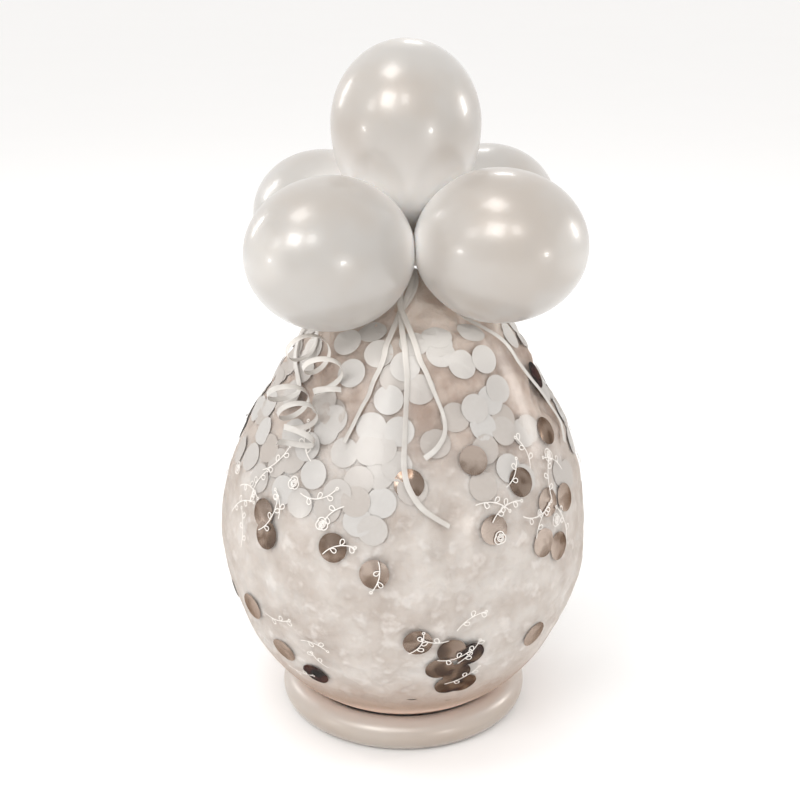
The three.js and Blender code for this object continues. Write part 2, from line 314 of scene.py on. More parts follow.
# Radius and height of the shoulder, from the belly up to the neck, and of the loose end above the tie.
SHOULDER = [
    (BELLY_RADIUS, BELLY_HEIGHT), (0.166, 0.218), (0.152, 0.266), (0.126, 0.314), (0.103, 0.354),
    (0.086, 0.376), (0.064, 0.386), (0.044, 0.397), (0.027, 0.4115), (NECK_RADIUS, NECK_HEIGHT),
]
LOOSE_END = [
    (NECK_RADIUS, 0.4262), (TAIL_RADIUS, 0.4295), (0.0062, 0.434), (TAIL_RADIUS, 0.438), (TAIL_RADIUS, 0.442),
]
PLEATS = 10
PLEAT_DEPTH = 0.3
PLEATS_FROM = 0.380
FINE_PLEATS = 34
FINE_PLEAT_DEPTH = 0.10
FINE_PLEAT_SHIFT = 1.2
UNDERSIDE_STEPS = 16
BELLY_STEPS = 40
SHOULDER_STEPS = 11
FILM_STEPS = 180
SLOPE_STEP = 0.001
FILM_RIPPLES = 26


def smooth_step(value, low, high):
    share = np.clip((value - low) / (high - low), 0, 1)
    return share * share * (3 - 2 * share)


def smooth_curve(knots, steps):
    """Points of a smooth curve through the knots, with as many steps between each two of them."""
    knots = np.asarray(knots, float)
    points = []
    for i in range(len(knots) - 1):
        before = knots[max(i - 1, 0)]
        here = knots[i]
        there = knots[i + 1]
        after = knots[min(i + 2, len(knots) - 1)]
        leave = (there - before) / 2
        arrive = (after - here) / 2
        for share in np.linspace(0, 1, steps, endpoint=False):
            cubic = (2 * here - 2 * there + leave + arrive) * share ** 3
            square = (3 * there - 3 * here - 2 * leave - arrive) * share ** 2
            points.append(cubic + square + leave * share + here)
    points.append(knots[-1])
    return np.array(points)


def film_outline():
    """Radius and height of the film from the middle of its underside up to the neck."""
    seat_angle = math.asin(SEAT_RADIUS / BELLY_RADIUS)
    seat_height = BELLY_HEIGHT - BELLY_DEPTH * math.cos(seat_angle)
    seat_slope = BELLY_DEPTH / BELLY_RADIUS * math.tan(seat_angle)
    power = seat_slope * SEAT_RADIUS / (seat_height - FLOOR_GAP)
    share = np.linspace(0, 1, UNDERSIDE_STEPS, endpoint=False)
    rise = (seat_height - FLOOR_GAP) * share ** power
    underside = np.stack([SEAT_RADIUS * share, FLOOR_GAP + rise], axis=1)
    angle = np.linspace(seat_angle, math.pi / 2, BELLY_STEPS, endpoint=False)
    belly = np.stack([BELLY_RADIUS * np.sin(angle), BELLY_HEIGHT - BELLY_DEPTH * np.cos(angle)], axis=1)
    return np.concatenate([underside, belly, smooth_curve(SHOULDER, SHOULDER_STEPS)])


film_rows = film_outline()


def film_radius(height):
    return np.interp(height, film_rows[:, 1], film_rows[:, 0])


def film_lean(height):
    return NECK_LEAN * smooth_step(height, BELLY_HEIGHT, NECK_HEIGHT)


def film_slope(height):
    """How much narrower the film gets for each metre up."""
    return (film_radius(height - SLOPE_STEP) - film_radius(height + SLOPE_STEP)) / (2 * SLOPE_STEP)


def film_point(bearing, height, lift):
    """Points over the film, and which way the film faces there; bearings run from the front to the right."""
    angle = np.radians(np.asarray(bearing, float))
    height = np.asarray(height, float)
    outward = np.stack([np.sin(angle), -np.cos(angle), film_slope(height)], axis=-1)
    outward /= np.linalg.norm(outward, axis=-1, keepdims=True)
    radius = film_radius(height)
    foot = np.stack([radius * np.sin(angle) + film_lean(height), -radius * np.cos(angle), height], axis=-1)
    return foot + np.asarray(lift, float)[..., None] * outward, outward


def film_folds(angle, height):
    """The share of its radius that the film keeps where it is gathered towards the neck."""
    gather = smooth_step(height, PLEATS_FROM, NECK_HEIGHT)
    broad = 0.5 - 0.5 * np.cos(PLEATS * angle)
    fine = 0.5 - 0.5 * np.cos(FINE_PLEATS * angle + FINE_PLEAT_SHIFT)
    return 1 - gather * (PLEAT_DEPTH * broad + FINE_PLEAT_DEPTH * fine)


shell_rows = np.concatenate([film_rows[1:], LOOSE_END])
shell_angle = full_turn(FILM_STEPS)[None, :]
shell_height = np.broadcast_to(shell_rows[:, 1:], (len(shell_rows), FILM_STEPS))
shell_radius = shell_rows[:, :1] * film_folds(shell_angle, shell_height)
shell_grid = np.stack([
    shell_radius * np.cos(shell_angle) + film_lean(shell_height),
    shell_radius * np.sin(shell_angle),
    shell_height,
], axis=2)

clear_film = Finish(
    "clear_film", Base_Color=(0.95, 0.905, 0.86, 1.0), Metallic=1.0, Roughness=0.22, Alpha=0.042
)
clear_film.bump(clear_film.noise(FILM_RIPPLES, detail=2), 0.18, 0.004)
film_shell = add_piece(
    "clear_film_shell", grid_skin(shell_grid, cap_first=True, cap_last=True), clear_film.material
)
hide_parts("clear_balloon")

# Print: white ink line work, put on the film before it is blown up: leafy sprigs, spiral flowers and rings.
# It runs in two loose bands, and has no height of its own, so it is drawn as thin strips that hug the film.
# In front it keeps to the places where the photograph has some, and behind it is scattered along the bands.
INK_LIFT = 0.0003
INK_WIDTH = 0.0009
LEAF_LENGTH = 0.0058
LEAF_WIDTH = 0.0024
LEAF_SPACING = 0.0090
LEAF_ANGLE = math.radians(55)
LEAF_STEPS = 16
LEAVES_TO = 0.95
RING_DOT = 0.0011
RING_DOT_STEPS = 12
TIP_GAP = 1.6 * RING_DOT
FLOWER_SIZE = 0.0056
SPIRAL_TURNS = 2.3
SPIRAL_START = 0.12 * FLOWER_SIZE
SPIRAL_GROWTH = 0.5 * FLOWER_SIZE
SPIRAL_STEPS = 44
PETAL_STARTS = (20, 140, 260)
PETAL_SWEEP = math.radians(150)
PETAL_NEAR = 0.72 * FLOWER_SIZE
PETAL_BULGE = 0.28 * FLOWER_SIZE
PETAL_STEPS = 16
SPRIG_STEP = 0.0012
INK_PATCHES = 260
INK_GRAIN = 600
SEARCH_REACH = 0.3
SEARCH_STEP = 0.0004
INK_WHITE = (0.78, 0.75, 0.71)
INK_THIN = (0.68, 0.64, 0.60)
ink_strokes = []
chance = np.random.default_rng(11)


def seen_on_film(pixel):
    """Bearing and height of the place on the film that the photograph shows at a pixel."""
    across = pixel[0] - AXIS_PIXEL
    up = PICTURE_PIXELS / 2 - pixel[1]
    ahead = across * view_right + up * view_up - FOCAL_PIXELS * view_back
    ahead /= np.linalg.norm(ahead)
    reach = np.arange(VIEW_DISTANCE - SEARCH_REACH, VIEW_DISTANCE + SEARCH_REACH, SEARCH_STEP)[:, None]
    x, y, z = (view_place + reach * ahead).T
    inside = (np.hypot(x - film_lean(z), y) < film_radius(z)) & (z > FLOOR_GAP) & (z < NECK_HEIGHT)
    first = int(np.argmax(inside))
    return math.degrees(math.atan2(x[first] - film_lean(z[first]), -y[first])), z[first]


def draw_stroke(bearing, height, points, closed=False):
    """Draws a line on the film; its points are metres to the right of and above a place on the film."""
    points = np.asarray(points, float)
    ahead = np.gradient(points, axis=0)
    if closed:
        ahead = np.roll(points, -1, axis=0) - np.roll(points, 1, axis=0)
    ahead /= np.linalg.norm(ahead, axis=1, keepdims=True)
    across = np.stack([-ahead[:, 1], ahead[:, 0]], axis=1) * INK_WIDTH / 2
    edges = np.stack([points - across, points + across], axis=1)
    stroke_height = height + edges[..., 1] / math.hypot(1, film_slope(height))
    stroke_bearing = bearing + np.degrees(edges[..., 0] / film_radius(stroke_height))
    places, outward = film_point(stroke_bearing, stroke_height, np.full(stroke_height.shape, INK_LIFT))
    ink_strokes.append(grid_skin(places, round_rows=closed, round_columns=False))


def draw_leaf(bearing, height, foot, heading):
    """A small pointed leaf in outline that grows from its foot along its heading."""
    turn = full_turn(LEAF_STEPS)
    along = LEAF_LENGTH * (0.5 - 0.5 * np.cos(turn))
    aside = LEAF_WIDTH * np.sin(turn) * np.sin(turn / 2)
    east, north = math.cos(heading), math.sin(heading)
    leaf = np.stack([foot[0] + along * east - aside * north, foot[1] + along * north + aside * east], axis=1)
    draw_stroke(bearing, height, leaf, closed=True)


def draw_ring(bearing, height, middle):
    turn = full_turn(RING_DOT_STEPS)
    ring = np.stack([middle[0] + RING_DOT * np.cos(turn), middle[1] + RING_DOT * np.sin(turn)], axis=1)
    draw_stroke(bearing, height, ring, closed=True)


def draw_flower(bearing, height):
    """A spiral with three loose petals round it."""
    turn = np.linspace(0, SPIRAL_TURNS * 2 * math.pi, SPIRAL_STEPS)
    reach = SPIRAL_START + SPIRAL_GROWTH * turn / turn[-1]
    draw_stroke(bearing, height, np.stack([reach * np.cos(turn), reach * np.sin(turn)], axis=1))
    for start in np.radians(PETAL_STARTS):
        sweep = np.linspace(start, start + PETAL_SWEEP, PETAL_STEPS)
        reach = PETAL_NEAR + PETAL_BULGE * np.sin((sweep - start) / PETAL_SWEEP * math.pi)
        draw_stroke(bearing, height, np.stack([reach * np.cos(sweep), reach * np.sin(sweep)], axis=1))


def draw_sprig(bearing, height, heading, length, bend):
    """A bending stem with leaves on either side by turns and a ring at its tip."""
    distance = np.arange(0, length, SPRIG_STEP)
    turn = heading + bend * distance / length
    stem = np.cumsum(np.stack([np.cos(turn), np.sin(turn)], axis=1) * SPRIG_STEP, axis=0)
    draw_stroke(bearing, height, stem)
    for number, place in enumerate(np.arange(LEAF_SPACING, length * LEAVES_TO, LEAF_SPACING)):
        index = int(place / SPRIG_STEP)
        side = 1 if number % 2 else -1
        draw_leaf(bearing, height, stem[index], turn[index] + side * LEAF_ANGLE)
    tip = stem[-1] + TIP_GAP * np.array([math.cos(turn[-1]), math.sin(turn[-1])])
    draw_ring(bearing, height, tip)


# In front, each sprig starts at a pixel of the photograph: its heading in degrees, length in metres and bend.
FRONT_SPRIGS = {
    (232, 512): (62, 0.040, -1.0), (240, 486): (40, 0.034, -1.3), (262, 470): (25, 0.034, 0.9),
    (258, 530): (30, 0.038, 1.2), (278, 520): (80, 0.024, 1.1), (300, 492): (-25, 0.036, 1.4),
    (312, 462): (150, 0.036, -1.1), (346, 506): (200, 0.028, 0.9),
    (322, 555): (55, 0.030, -1.2), (378, 560): (-70, 0.028, -1.0),
    (474, 506): (15, 0.034, -1.1), (492, 524): (60, 0.034, -1.3), (522, 516): (-35, 0.034, 1.2),
    (530, 470): (65, 0.030, 1.2), (536, 540): (75, 0.036, -1.0), (552, 500): (100, 0.036, -0.9),
    (562, 470): (110, 0.028, 1.0), (566, 540): (80, 0.034, 0.9), (505, 488): (20, 0.026, 1.0),
    (407, 654): (20, 0.026, 1.3), (436, 660): (-20, 0.030, 1.1), (456, 664): (35, 0.030, 0.6),
    (443, 684): (10, 0.034, 0.7), (450, 640): (200, 0.022, -0.9),
    (288, 664): (-25, 0.028, 0.8), (330, 668): (160, 0.020, -0.9), (241, 548): (72, 0.034, 1.0),
    (250, 504): (98, 0.034, -0.9), (456, 632): (60, 0.030, -1.0),
    (265, 612): (-20, 0.030, 0.9), (300, 640): (20, 0.026, -1.0),
}
FRONT_FLOWERS = [(294, 483), (238, 468), (500, 538), (548, 455), (322, 524), (556, 520)]
FRONT_BEARING = 84
BELLY_BAND_HEIGHT = 0.245
BELLY_BAND_SWING = 0.033
BELLY_BAND_WAVE = 2.4
BELLY_SPRIGS = 27
BELLY_BRANCHES = (0.0, 2.2)
BELLY_LENGTHS = (0.026, 0.044)
BELLY_STRAY = 4
BELLY_RISE = 0.008
BELLY_FLOWER = (5, 0.016)
RING_STRAY = 0.03
FOOT_BAND_HEIGHT = 0.105
FOOT_SPRIGS = 13
FOOT_SHIFT = 0.4
FOOT_LENGTHS = (0.026, 0.040)
FOOT_STRAY = 5
FOOT_RISE = 0.022
FOOT_FLOWER = (8, 0.010)
BEND_LIMIT = 1.5


def stray(limit):
    """A chance amount of at most the limit, either way."""
    return chance.uniform(-limit, limit)


for pixel, (heading, length, bend) in FRONT_SPRIGS.items():
    draw_sprig(*seen_on_film(pixel), math.radians(heading), length, bend)
for pixel in FRONT_FLOWERS:
    draw_flower(*seen_on_film(pixel))
for number in range(BELLY_SPRIGS):
    bearing = 360 * number / BELLY_SPRIGS + stray(BELLY_STRAY) - 180
    wave = BELLY_BAND_SWING * math.sin(BELLY_BAND_WAVE * number)
    height = BELLY_BAND_HEIGHT + wave + stray(BELLY_RISE)
    heading = chance.uniform(0, 2 * math.pi)
    if abs(bearing) > FRONT_BEARING:
        for branch in BELLY_BRANCHES:
            draw_sprig(bearing, height, heading + branch, chance.uniform(*BELLY_LENGTHS), stray(BEND_LIMIT))
        if number % 3 == 0:
            draw_flower(bearing + BELLY_FLOWER[0], height + BELLY_FLOWER[1])
        draw_ring(bearing, height, (stray(RING_STRAY), stray(RING_STRAY)))
for number in range(FOOT_SPRIGS):
    bearing = 360 * (number + FOOT_SHIFT) / FOOT_SPRIGS + stray(FOOT_STRAY) - 180
    height = FOOT_BAND_HEIGHT + stray(FOOT_RISE)
    if abs(bearing) > FRONT_BEARING:
        heading = chance.uniform(0, 2 * math.pi)
        draw_sprig(bearing, height, heading, chance.uniform(*FOOT_LENGTHS), stray(BEND_LIMIT))
        if number % 3 == 1:
            draw_flower(bearing + FOOT_FLOWER[0], height + FOOT_FLOWER[1])

print_ink = Finish("print_ink", Specular_IOR_Level=0.4)
ink_cover = print_ink.ramp(print_ink.noise(INK_PATCHES, detail=3), 0.35, 0.7)
print_ink.colour(print_ink.blend(ink_cover, INK_WHITE, INK_THIN))
print_ink.roughness(print_ink.ramp(print_ink.noise(INK_GRAIN), 0.3, 0.7, 0.45, 0.65))
film_print = add_piece("film_print", join_skins(ink_strokes), print_ink.material)

# Filling: soft white tissue packed in through the neck, tight against the film below and looser above.
# It is crumpled by hand, so its outside is all soft lumps, and the hollows towards the shoulder look beige.
# The tight part stands a little higher at the front left; its colour has painted shade at both sides and
# towards the foot, painted light at its seat on the ring and up under the cluster, and small painted glints.
FILLING_LOW_DEPTH = 0.0029
FILLING_HIGH_DEPTH = 0.0035
FILLING_FOOT_DEPTH = 0.0008
FILLING_LOOSE_FROM = 0.250
FILLING_LOOSE_TO = 0.315
FILLING_HIGH_SIDE = math.radians(-25)
FILLING_SWING = 0.020
FILLING_TOP = 0.4165
FILLING_STEPS = 220
FILLING_ROWS = 170
FILLING_NECK_SHARE = 0.42
FILLING_LEAST_SHARE = 0.6
FILLING_START = 0.02
LUMP_SIZE = 0.034
LUMP_HEIGHT = 0.0026
CREASE_SIZE = 0.015
CREASE_HEIGHT = 0.0016
CREASE_SHIFT = 7
LOOSE_LUMPS = 1.4
LOOSE_CREASES = 1.6
TISSUE_PALE = (0.55, 0.51, 0.475)
TISSUE_PINK = (0.42, 0.365, 0.325)
TISSUE_BEIGE = (0.47, 0.385, 0.33)
TISSUE_SHADOW = (0.33, 0.25, 0.205)
TISSUE_NECK_PAINTED_LIGHT = (0.86, 0.74, 0.65)
TISSUE_FOOT_PAINTED_SHADE = (0.33, 0.235, 0.18)
TISSUE_SEAT_PAINTED_LIGHT = (0.74, 0.53, 0.43)
TISSUE_PAINTED_GLINT = (0.66, 0.625, 0.595)
TISSUE_SIDE_PAINTED_SHADE = (0.33, 0.275, 0.235)
FILLING_CLOUDS = 38
FILLING_PATCHES = 46
FILLING_PAINTED_GLINTS = 75
FILLING_GRAIN = 300
CRUMPLE_CELLS = 52
CRINKLE_WAVES = 110
CRINKLE_SHARE = 0.3
CRUMPLE_DEPTH = 0.007
SIDE_SHARE = 0.6
SIDE_FROM = 0.86
SIDE_TO = 1.0
FOOT_FROM = 0.105
FOOT_TO = 0.045
SEAT_FROM = 0.055
SEAT_TO = 0.030
NECK_FROM = 0.352
NECK_TO = 0.395


def along_path(points):
    """Distance along a path to each of its points."""
    steps = np.linalg.norm(np.diff(points, axis=0), axis=1)
    return np.concatenate([[0], np.cumsum(steps)])


def noise_over(points, size):
    """Smooth noise at each point, about -1 to 1, with waves of a size."""
    flat = points.reshape(-1, 3) / size
    return np.array([noise.noise(Vector(point)) for point in flat]).reshape(points.shape[:-1])


def filling_depth(skin, height):
    """How far under the film the crumpled filling lies at points of the film, and how loose it is there."""
    side = np.arctan2(skin[..., 0], -skin[..., 1])
    level = height - FILLING_SWING * np.cos(side - FILLING_HIGH_SIDE)
    loose = smooth_step(level, FILLING_LOOSE_FROM, FILLING_LOOSE_TO)
    lumps = noise_over(skin, LUMP_SIZE) * LUMP_HEIGHT * (1 + LOOSE_LUMPS * loose)
    creases = np.abs(noise_over(skin + CREASE_SHIFT, CREASE_SIZE)) * CREASE_HEIGHT
    creases = creases * (1 + LOOSE_CREASES * loose)
    depth = FILLING_LOW_DEPTH + (FILLING_HIGH_DEPTH - FILLING_LOW_DEPTH) * loose - lumps + creases
    depth = np.maximum(depth, FILLING_LOW_DEPTH * FILLING_LEAST_SHARE)
    depth = FILLING_FOOT_DEPTH + (depth - FILLING_FOOT_DEPTH) * smooth_step(height, FOOT_TO, FOOT_FROM)
    return np.minimum(depth, film_radius(height) * FILLING_NECK_SHARE), loose


def filling_grid():
    """The crumpled outside of the filling, and how loose it is at each of its points."""
    bearing = np.linspace(0, 360, FILLING_STEPS, endpoint=False)[None, :]
    along = along_path(film_rows)
    top = np.interp(FILLING_TOP, film_rows[:, 1], along)
    wanted = np.linspace(FILLING_START, 1, FILLING_ROWS) * top
    height = np.interp(wanted, along, film_rows[:, 1])[:, None]
    bearing, height = np.broadcast_arrays(bearing, height)
    skin, outward = film_point(bearing, height, np.zeros(height.shape))
    depth, loose = filling_depth(skin, height)
    return skin - depth[..., None] * outward, loose


tissue_filling = Finish(
    "tissue_filling", Specular_IOR_Level=0.25, Subsurface_Weight=0.6, Subsurface_Scale=0.015,
    Subsurface_Radius=(1.0, 0.85, 0.75),
)
filling_cloud = tissue_filling.ramp(tissue_filling.noise(FILLING_CLOUDS, detail=4), 0.36, 0.66)
filling_patch = tissue_filling.ramp(tissue_filling.noise(FILLING_PATCHES, detail=3), 0.40, 0.64)
filling_low = tissue_filling.blend(filling_cloud, TISSUE_PALE, TISSUE_PINK)
# Painted glints: small light flecks in the colour stand for highlights on the crumpled tissue.
filling_painted_glints = tissue_filling.ramp(tissue_filling.noise(FILLING_PAINTED_GLINTS, detail=4), 0.54, 0.68, 0.0, 0.6)
filling_low = tissue_filling.blend(filling_painted_glints, filling_low, TISSUE_PAINTED_GLINT)
# Painted shade: the filling is darker towards both sides.
filling_low = tissue_filling.blend(tissue_filling.mark("side"), filling_low, TISSUE_SIDE_PAINTED_SHADE)
# Painted shade: the filling is darker and browner towards the foot.
filling_low = tissue_filling.blend(tissue_filling.mark("foot"), filling_low, TISSUE_FOOT_PAINTED_SHADE)
# Painted light: the filling is lighter at its seat on the ring, against the shade between ring and film.
filling_low = tissue_filling.blend(tissue_filling.mark("seat"), filling_low, TISSUE_SEAT_PAINTED_LIGHT)
filling_high = tissue_filling.blend(filling_patch, TISSUE_BEIGE, TISSUE_SHADOW)
# Painted light: the loose filling is lighter near the neck, in the shade under the cluster.
filling_high = tissue_filling.blend(tissue_filling.mark("neck"), filling_high, TISSUE_NECK_PAINTED_LIGHT)
tissue_filling.colour(tissue_filling.blend(tissue_filling.mark("loose"), filling_low, filling_high))
tissue_filling.roughness(tissue_filling.ramp(tissue_filling.noise(FILLING_GRAIN), 0.3, 0.7, 0.75, 0.95))
filling_crumple = tissue_filling.node("ShaderNodeTexVoronoi", feature="SMOOTH_F1")
filling_crumple.inputs["Scale"].default_value = CRUMPLE_CELLS
filling_crumple.inputs["Smoothness"].default_value = 0.5
tissue_filling.link(tissue_filling.place(), filling_crumple.inputs["Vector"])
filling_crinkle = tissue_filling.node("ShaderNodeMath", operation="MULTIPLY_ADD")
filling_crinkle.inputs[1].default_value = CRINKLE_SHARE
tissue_filling.link(tissue_filling.noise(CRINKLE_WAVES, detail=4), filling_crinkle.inputs[0])
tissue_filling.link(filling_crumple.outputs["Distance"], filling_crinkle.inputs[2])
tissue_filling.bump(filling_crinkle.outputs[0], 0.8, CRUMPLE_DEPTH)


def with_middles(values, first, last):
    """Marks for a grid of points, and for the middles of the fans over its first and last rows."""
    return np.append(values.ravel(), [first, last])


filling_points, filling_loose = filling_grid()
filling_x, filling_y, filling_z = np.moveaxis(filling_points, 2, 0)
filling_foot_painted_shade = smooth_step(-filling_z, -FOOT_FROM, -FOOT_TO)
filling_seat_painted_light = smooth_step(-filling_z, -SEAT_FROM, -SEAT_TO)
filling_neck_painted_light = smooth_step(filling_z, NECK_FROM, NECK_TO)
filling_across = np.abs(filling_x) / np.hypot(filling_x, filling_y)
filling_painted_side_shade = SIDE_SHARE * smooth_step(filling_across, SIDE_FROM, SIDE_TO)
add_piece(
    "tissue_filling", grid_skin(filling_points, cap_first=True, cap_last=True), tissue_filling.material,
    loose=with_middles(filling_loose, 0.0, 1.0), foot=with_middles(filling_foot_painted_shade, 1.0, 0.0),
    seat=with_middles(filling_seat_painted_light, 1.0, 0.0), neck=with_middles(filling_neck_painted_light, 0.0, 1.0),
    side=with_middles(filling_painted_side_shade, 0.0, 0.0),
)

# Discs: confetti punched from silver foil and from white tissue thin enough to let some light through.
# It is dropped in before the filling, which presses it to the film, so each disc lies on the filling.
# Those that show plainly lie where the photograph has them, given in its pixels, and the rest are scattered.
DISC_RADIUS = 0.0125
DISC_THICKNESS = 0.00015
DISC_CLEARANCE = (0.0008, 0.0016)
DISC_LEAST_DEPTH = 0.0003
DISC_SIDES = 26
DISC_RINGS = 3
DISC_PAINTED_REFLECTION = 0.5
DISC_CUP = 0.8 * BELLY_RADIUS
FOIL_DEPTH = 0.0007
TISSUE_DEPTH = 0.0013
TISSUE_DISCS = [
    (414, 342), (388, 399), (399, 431), (471, 330), (486, 358), (500, 388), (506, 430), (333, 419),
    (312, 474), (358, 481), (357, 522), (420, 389), (322, 400), (441, 352), (350, 372), (378, 352),
    (276, 462), (292, 432), (372, 330), (346, 340), (343, 452), (369, 450), (379, 474), (336, 494),
    (381, 503), (397, 466), (326, 508), (298, 503), (281, 490), (262, 430), (249, 456), (268, 402),
    (289, 392), (303, 368), (258, 478), (306, 446), (372, 531), (405, 366), (476, 408),
]
# Each foil disc's shade, from dark to bright, is partly the foil's own tone and partly a painted reflection:
# the darkest stand for a dark room mirrored in them.
FOIL_DISCS = {
    (522, 482): 0.36, (474, 460): 0.82, (547, 430): 0.36, (537, 374): 0.00, (332, 548): 0.34,
    (374, 575): 0.62, (251, 607): 1.00, (315, 675): 0.00, (418, 644): 0.36, (452, 652): 0.32,
    (471, 655): 0.08, (440, 670): 0.24, (463, 684): 0.28, (457, 674): 0.20, (449, 686): 0.24,
    (409, 484): 0.40, (495, 530): 1.00, (535, 635): 1.00, (549, 502): 0.95, (566, 497): 0.70,
    (545, 543): 0.92, (560, 546): 0.58, (262, 513): 0.62, (265, 535): 0.42, (283, 651): 1.00,
}
FOIL_ON_EDGE = {(493, 506): 80, (412, 703): 70, (447, 703): 70}
PLACED_STACK = (0, 0.0012)
PLACED_SHADES = (0, 0.6)
PLACED_TILTS = (0.01, 0.05)
SCATTER_FROM = 0.02
SCATTERED_TISSUE = 440
SCATTERED_TISSUE_TO = 0.385
SCATTERED_STACK = (0.0002, 0.0016)
SCATTERED_TILTS = (0, 0.05)
HIGH_SHADES = (0.0, 0.7)
LOW_SHADES = (0.7, 1.0)
DEEP_TISSUE = 36
DEEP_TISSUE_TO = 0.38
DEEP_DEPTHS = (0.0025, 0.0038)
DEEP_TILTS = (0, 0.1)
FOIL_TILT = 0.01
SCATTERED_FOIL = 40
SCATTERED_FOIL_TO = 0.37
SCATTERED_FOIL_SHADES = (0.2, 0.9)
SCATTERED_FOIL_TILT = 0.02
HOLLOW_BEARING = 75
HOLLOW_LEFT_OUT = 0.70
LOW_LEFT_OUT = 0.92
FOIL_FROM_BEARING = 100
TISSUE_WHITE = (0.60, 0.585, 0.565)
TISSUE_DULL = (0.50, 0.45, 0.41)
TISSUE_PAINTED_LIGHT = (0.80, 0.77, 0.73)
SHADED_FROM = 0.335
SHADED_TO = 0.385
FOIL_DARK = (0.020, 0.006, 0.001)
FOIL_BROWN = (0.158, 0.104, 0.072)
FOIL_BRIGHT = (0.475, 0.392, 0.335)
FOIL_BROWN_AT = 0.35
FOIL_EDGE = (0.35, 0.28, 0.24, 1.0)
FOIL_PAINTED_STREAKS = 0.14
TISSUE_FIBRES = 420
TISSUE_GRAIN = 500
TISSUE_FUZZ = 300
FOIL_STREAKS = 80
FOIL_SMEARS = 40


def film_at(points):
    """The film beside some points, which way it faces there, and how far over it the points lie."""
    height = points[..., 2]
    bearing = np.degrees(np.arctan2(points[..., 0] - film_lean(height), -points[..., 1]))
    skin, outward = film_point(bearing, height, np.zeros(height.shape))
    return skin, outward, np.sum((points - skin) * outward, axis=-1)


def on_filling(points, clearance):
    """Points of a disc, with those that would sink into the filling lifted out to a clearance over it."""
    skin, outward, over = film_at(points)
    deepest = np.maximum(filling_depth(skin, points[..., 2])[0] - clearance, DISC_LEAST_DEPTH)
    sunk = np.maximum(-over - deepest, 0)
    return points + sunk[..., None] * outward


def disc_skin(bearing, height, depth, tilt, on_edge=0.0):
    """A thin disc cupped to the film at a depth, tipped in at one side, or turned in on its edge."""
    turned_in = math.radians(on_edge)
    middle, outward = film_point(bearing, height, -depth - DISC_RADIUS * math.sin(turned_in))
    beside = np.array([math.cos(math.radians(bearing)), math.sin(math.radians(bearing)), 0.0])
    above = np.cross(beside, outward)
    facing = math.cos(turned_in) * outward + math.sin(turned_in) * above
    above = math.cos(turned_in) * above - math.sin(turned_in) * outward
    low_side = chance.uniform(0, 2 * math.pi)
    angle = full_turn(DISC_SIDES)[None, :]
    ring = np.linspace(1 / DISC_RINGS, 1, DISC_RINGS)[:, None] * DISC_RADIUS
    drop = ring ** 2 / (2 * DISC_CUP) + tilt * (DISC_RADIUS + ring * np.cos(angle - low_side))
    front = middle + (ring * np.cos(angle))[..., None] * beside + (ring * np.sin(angle))[..., None] * above
    front = front - drop[..., None] * facing
    if not on_edge:
        front = on_filling(front, chance.uniform(*DISC_CLEARANCE))
    back = front[::-1] - DISC_THICKNESS * facing
    return grid_skin(np.concatenate([front, back]), cap_first=True, cap_last=True)


# Tissue discs and ribbons take painted light by this mark: their colour is lighter in the shade under the
# cluster.
def shaded(skin):
    """How far each vertex is up in the shade of the cluster, from 0 to 1."""
    return smooth_step(np.array(skin[0])[:, 2], SHADED_FROM, SHADED_TO)


def add_discs(name, discs, material):
    """One piece of many discs; each is its shade, bearing, height, depth, tilt and turn on its edge."""
    skins = [disc_skin(*place) for shade, *place in discs]
    shades = []
    gleams = []
    for (vertices, faces), disc in zip(skins, discs):
        away = chance.normal(size=3)
        from_middle = (vertices - np.mean(vertices, axis=0)) / DISC_RADIUS
        shades.append(np.full(len(vertices), disc[0]))
        # Painted reflection: each disc's shade is slanted, lighter to one side and darker to the other.
        gleams.append(1 + DISC_PAINTED_REFLECTION * (from_middle @ (away / np.linalg.norm(away))))
    shape = join_skins(skins)
    add_piece(
        name, shape, material, shade=np.concatenate(shades), gleam=np.concatenate(gleams), neck=shaded(shape),
    )


def scattered(count, low, high):
    """Bearings and heights spread evenly over the film between two heights."""
    weight = np.cumsum(np.gradient(along_path(film_rows)) * film_rows[:, 0])
    first, last = np.interp([low, high], film_rows[:, 1], weight)
    height = np.interp(chance.uniform(first, last, count), weight, film_rows[:, 1])
    return zip(chance.uniform(-180, 180, count), height)


tissue_discs = []
for pixel in TISSUE_DISCS:
    depth = TISSUE_DEPTH + chance.uniform(*PLACED_STACK)
    shade = chance.uniform(*PLACED_SHADES)
    tissue_discs.append((shade, *seen_on_film(pixel), depth, chance.uniform(*PLACED_TILTS)))
for bearing, height in scattered(SCATTERED_TISSUE, SCATTER_FROM, SCATTERED_TISSUE_TO):
    high = height > FILLING_LOOSE_FROM
    if high and abs(bearing) < HOLLOW_BEARING and chance.uniform() < HOLLOW_LEFT_OUT:
        continue
    if not high and (abs(bearing) < HOLLOW_BEARING or chance.uniform() < LOW_LEFT_OUT):
        continue
    shade = chance.uniform(*(HIGH_SHADES if high else LOW_SHADES))
    depth = TISSUE_DEPTH + chance.uniform(*SCATTERED_STACK)
    tissue_discs.append((shade, bearing, height, depth, chance.uniform(*SCATTERED_TILTS)))
for bearing, height in scattered(DEEP_TISSUE, FILLING_LOOSE_FROM, DEEP_TISSUE_TO):
    depth = chance.uniform(*DEEP_DEPTHS)
    shade = chance.uniform(*LOW_SHADES)
    tissue_discs.append((shade, bearing, height, depth, chance.uniform(*DEEP_TILTS)))
foil_discs = []
for pixel, shade in FOIL_DISCS.items():
    foil_discs.append((shade, *seen_on_film(pixel), FOIL_DEPTH, FOIL_TILT))
for pixel, on_edge in FOIL_ON_EDGE.items():
    foil_discs.append((0.0, *seen_on_film(pixel), FOIL_DEPTH, 0.0, on_edge))
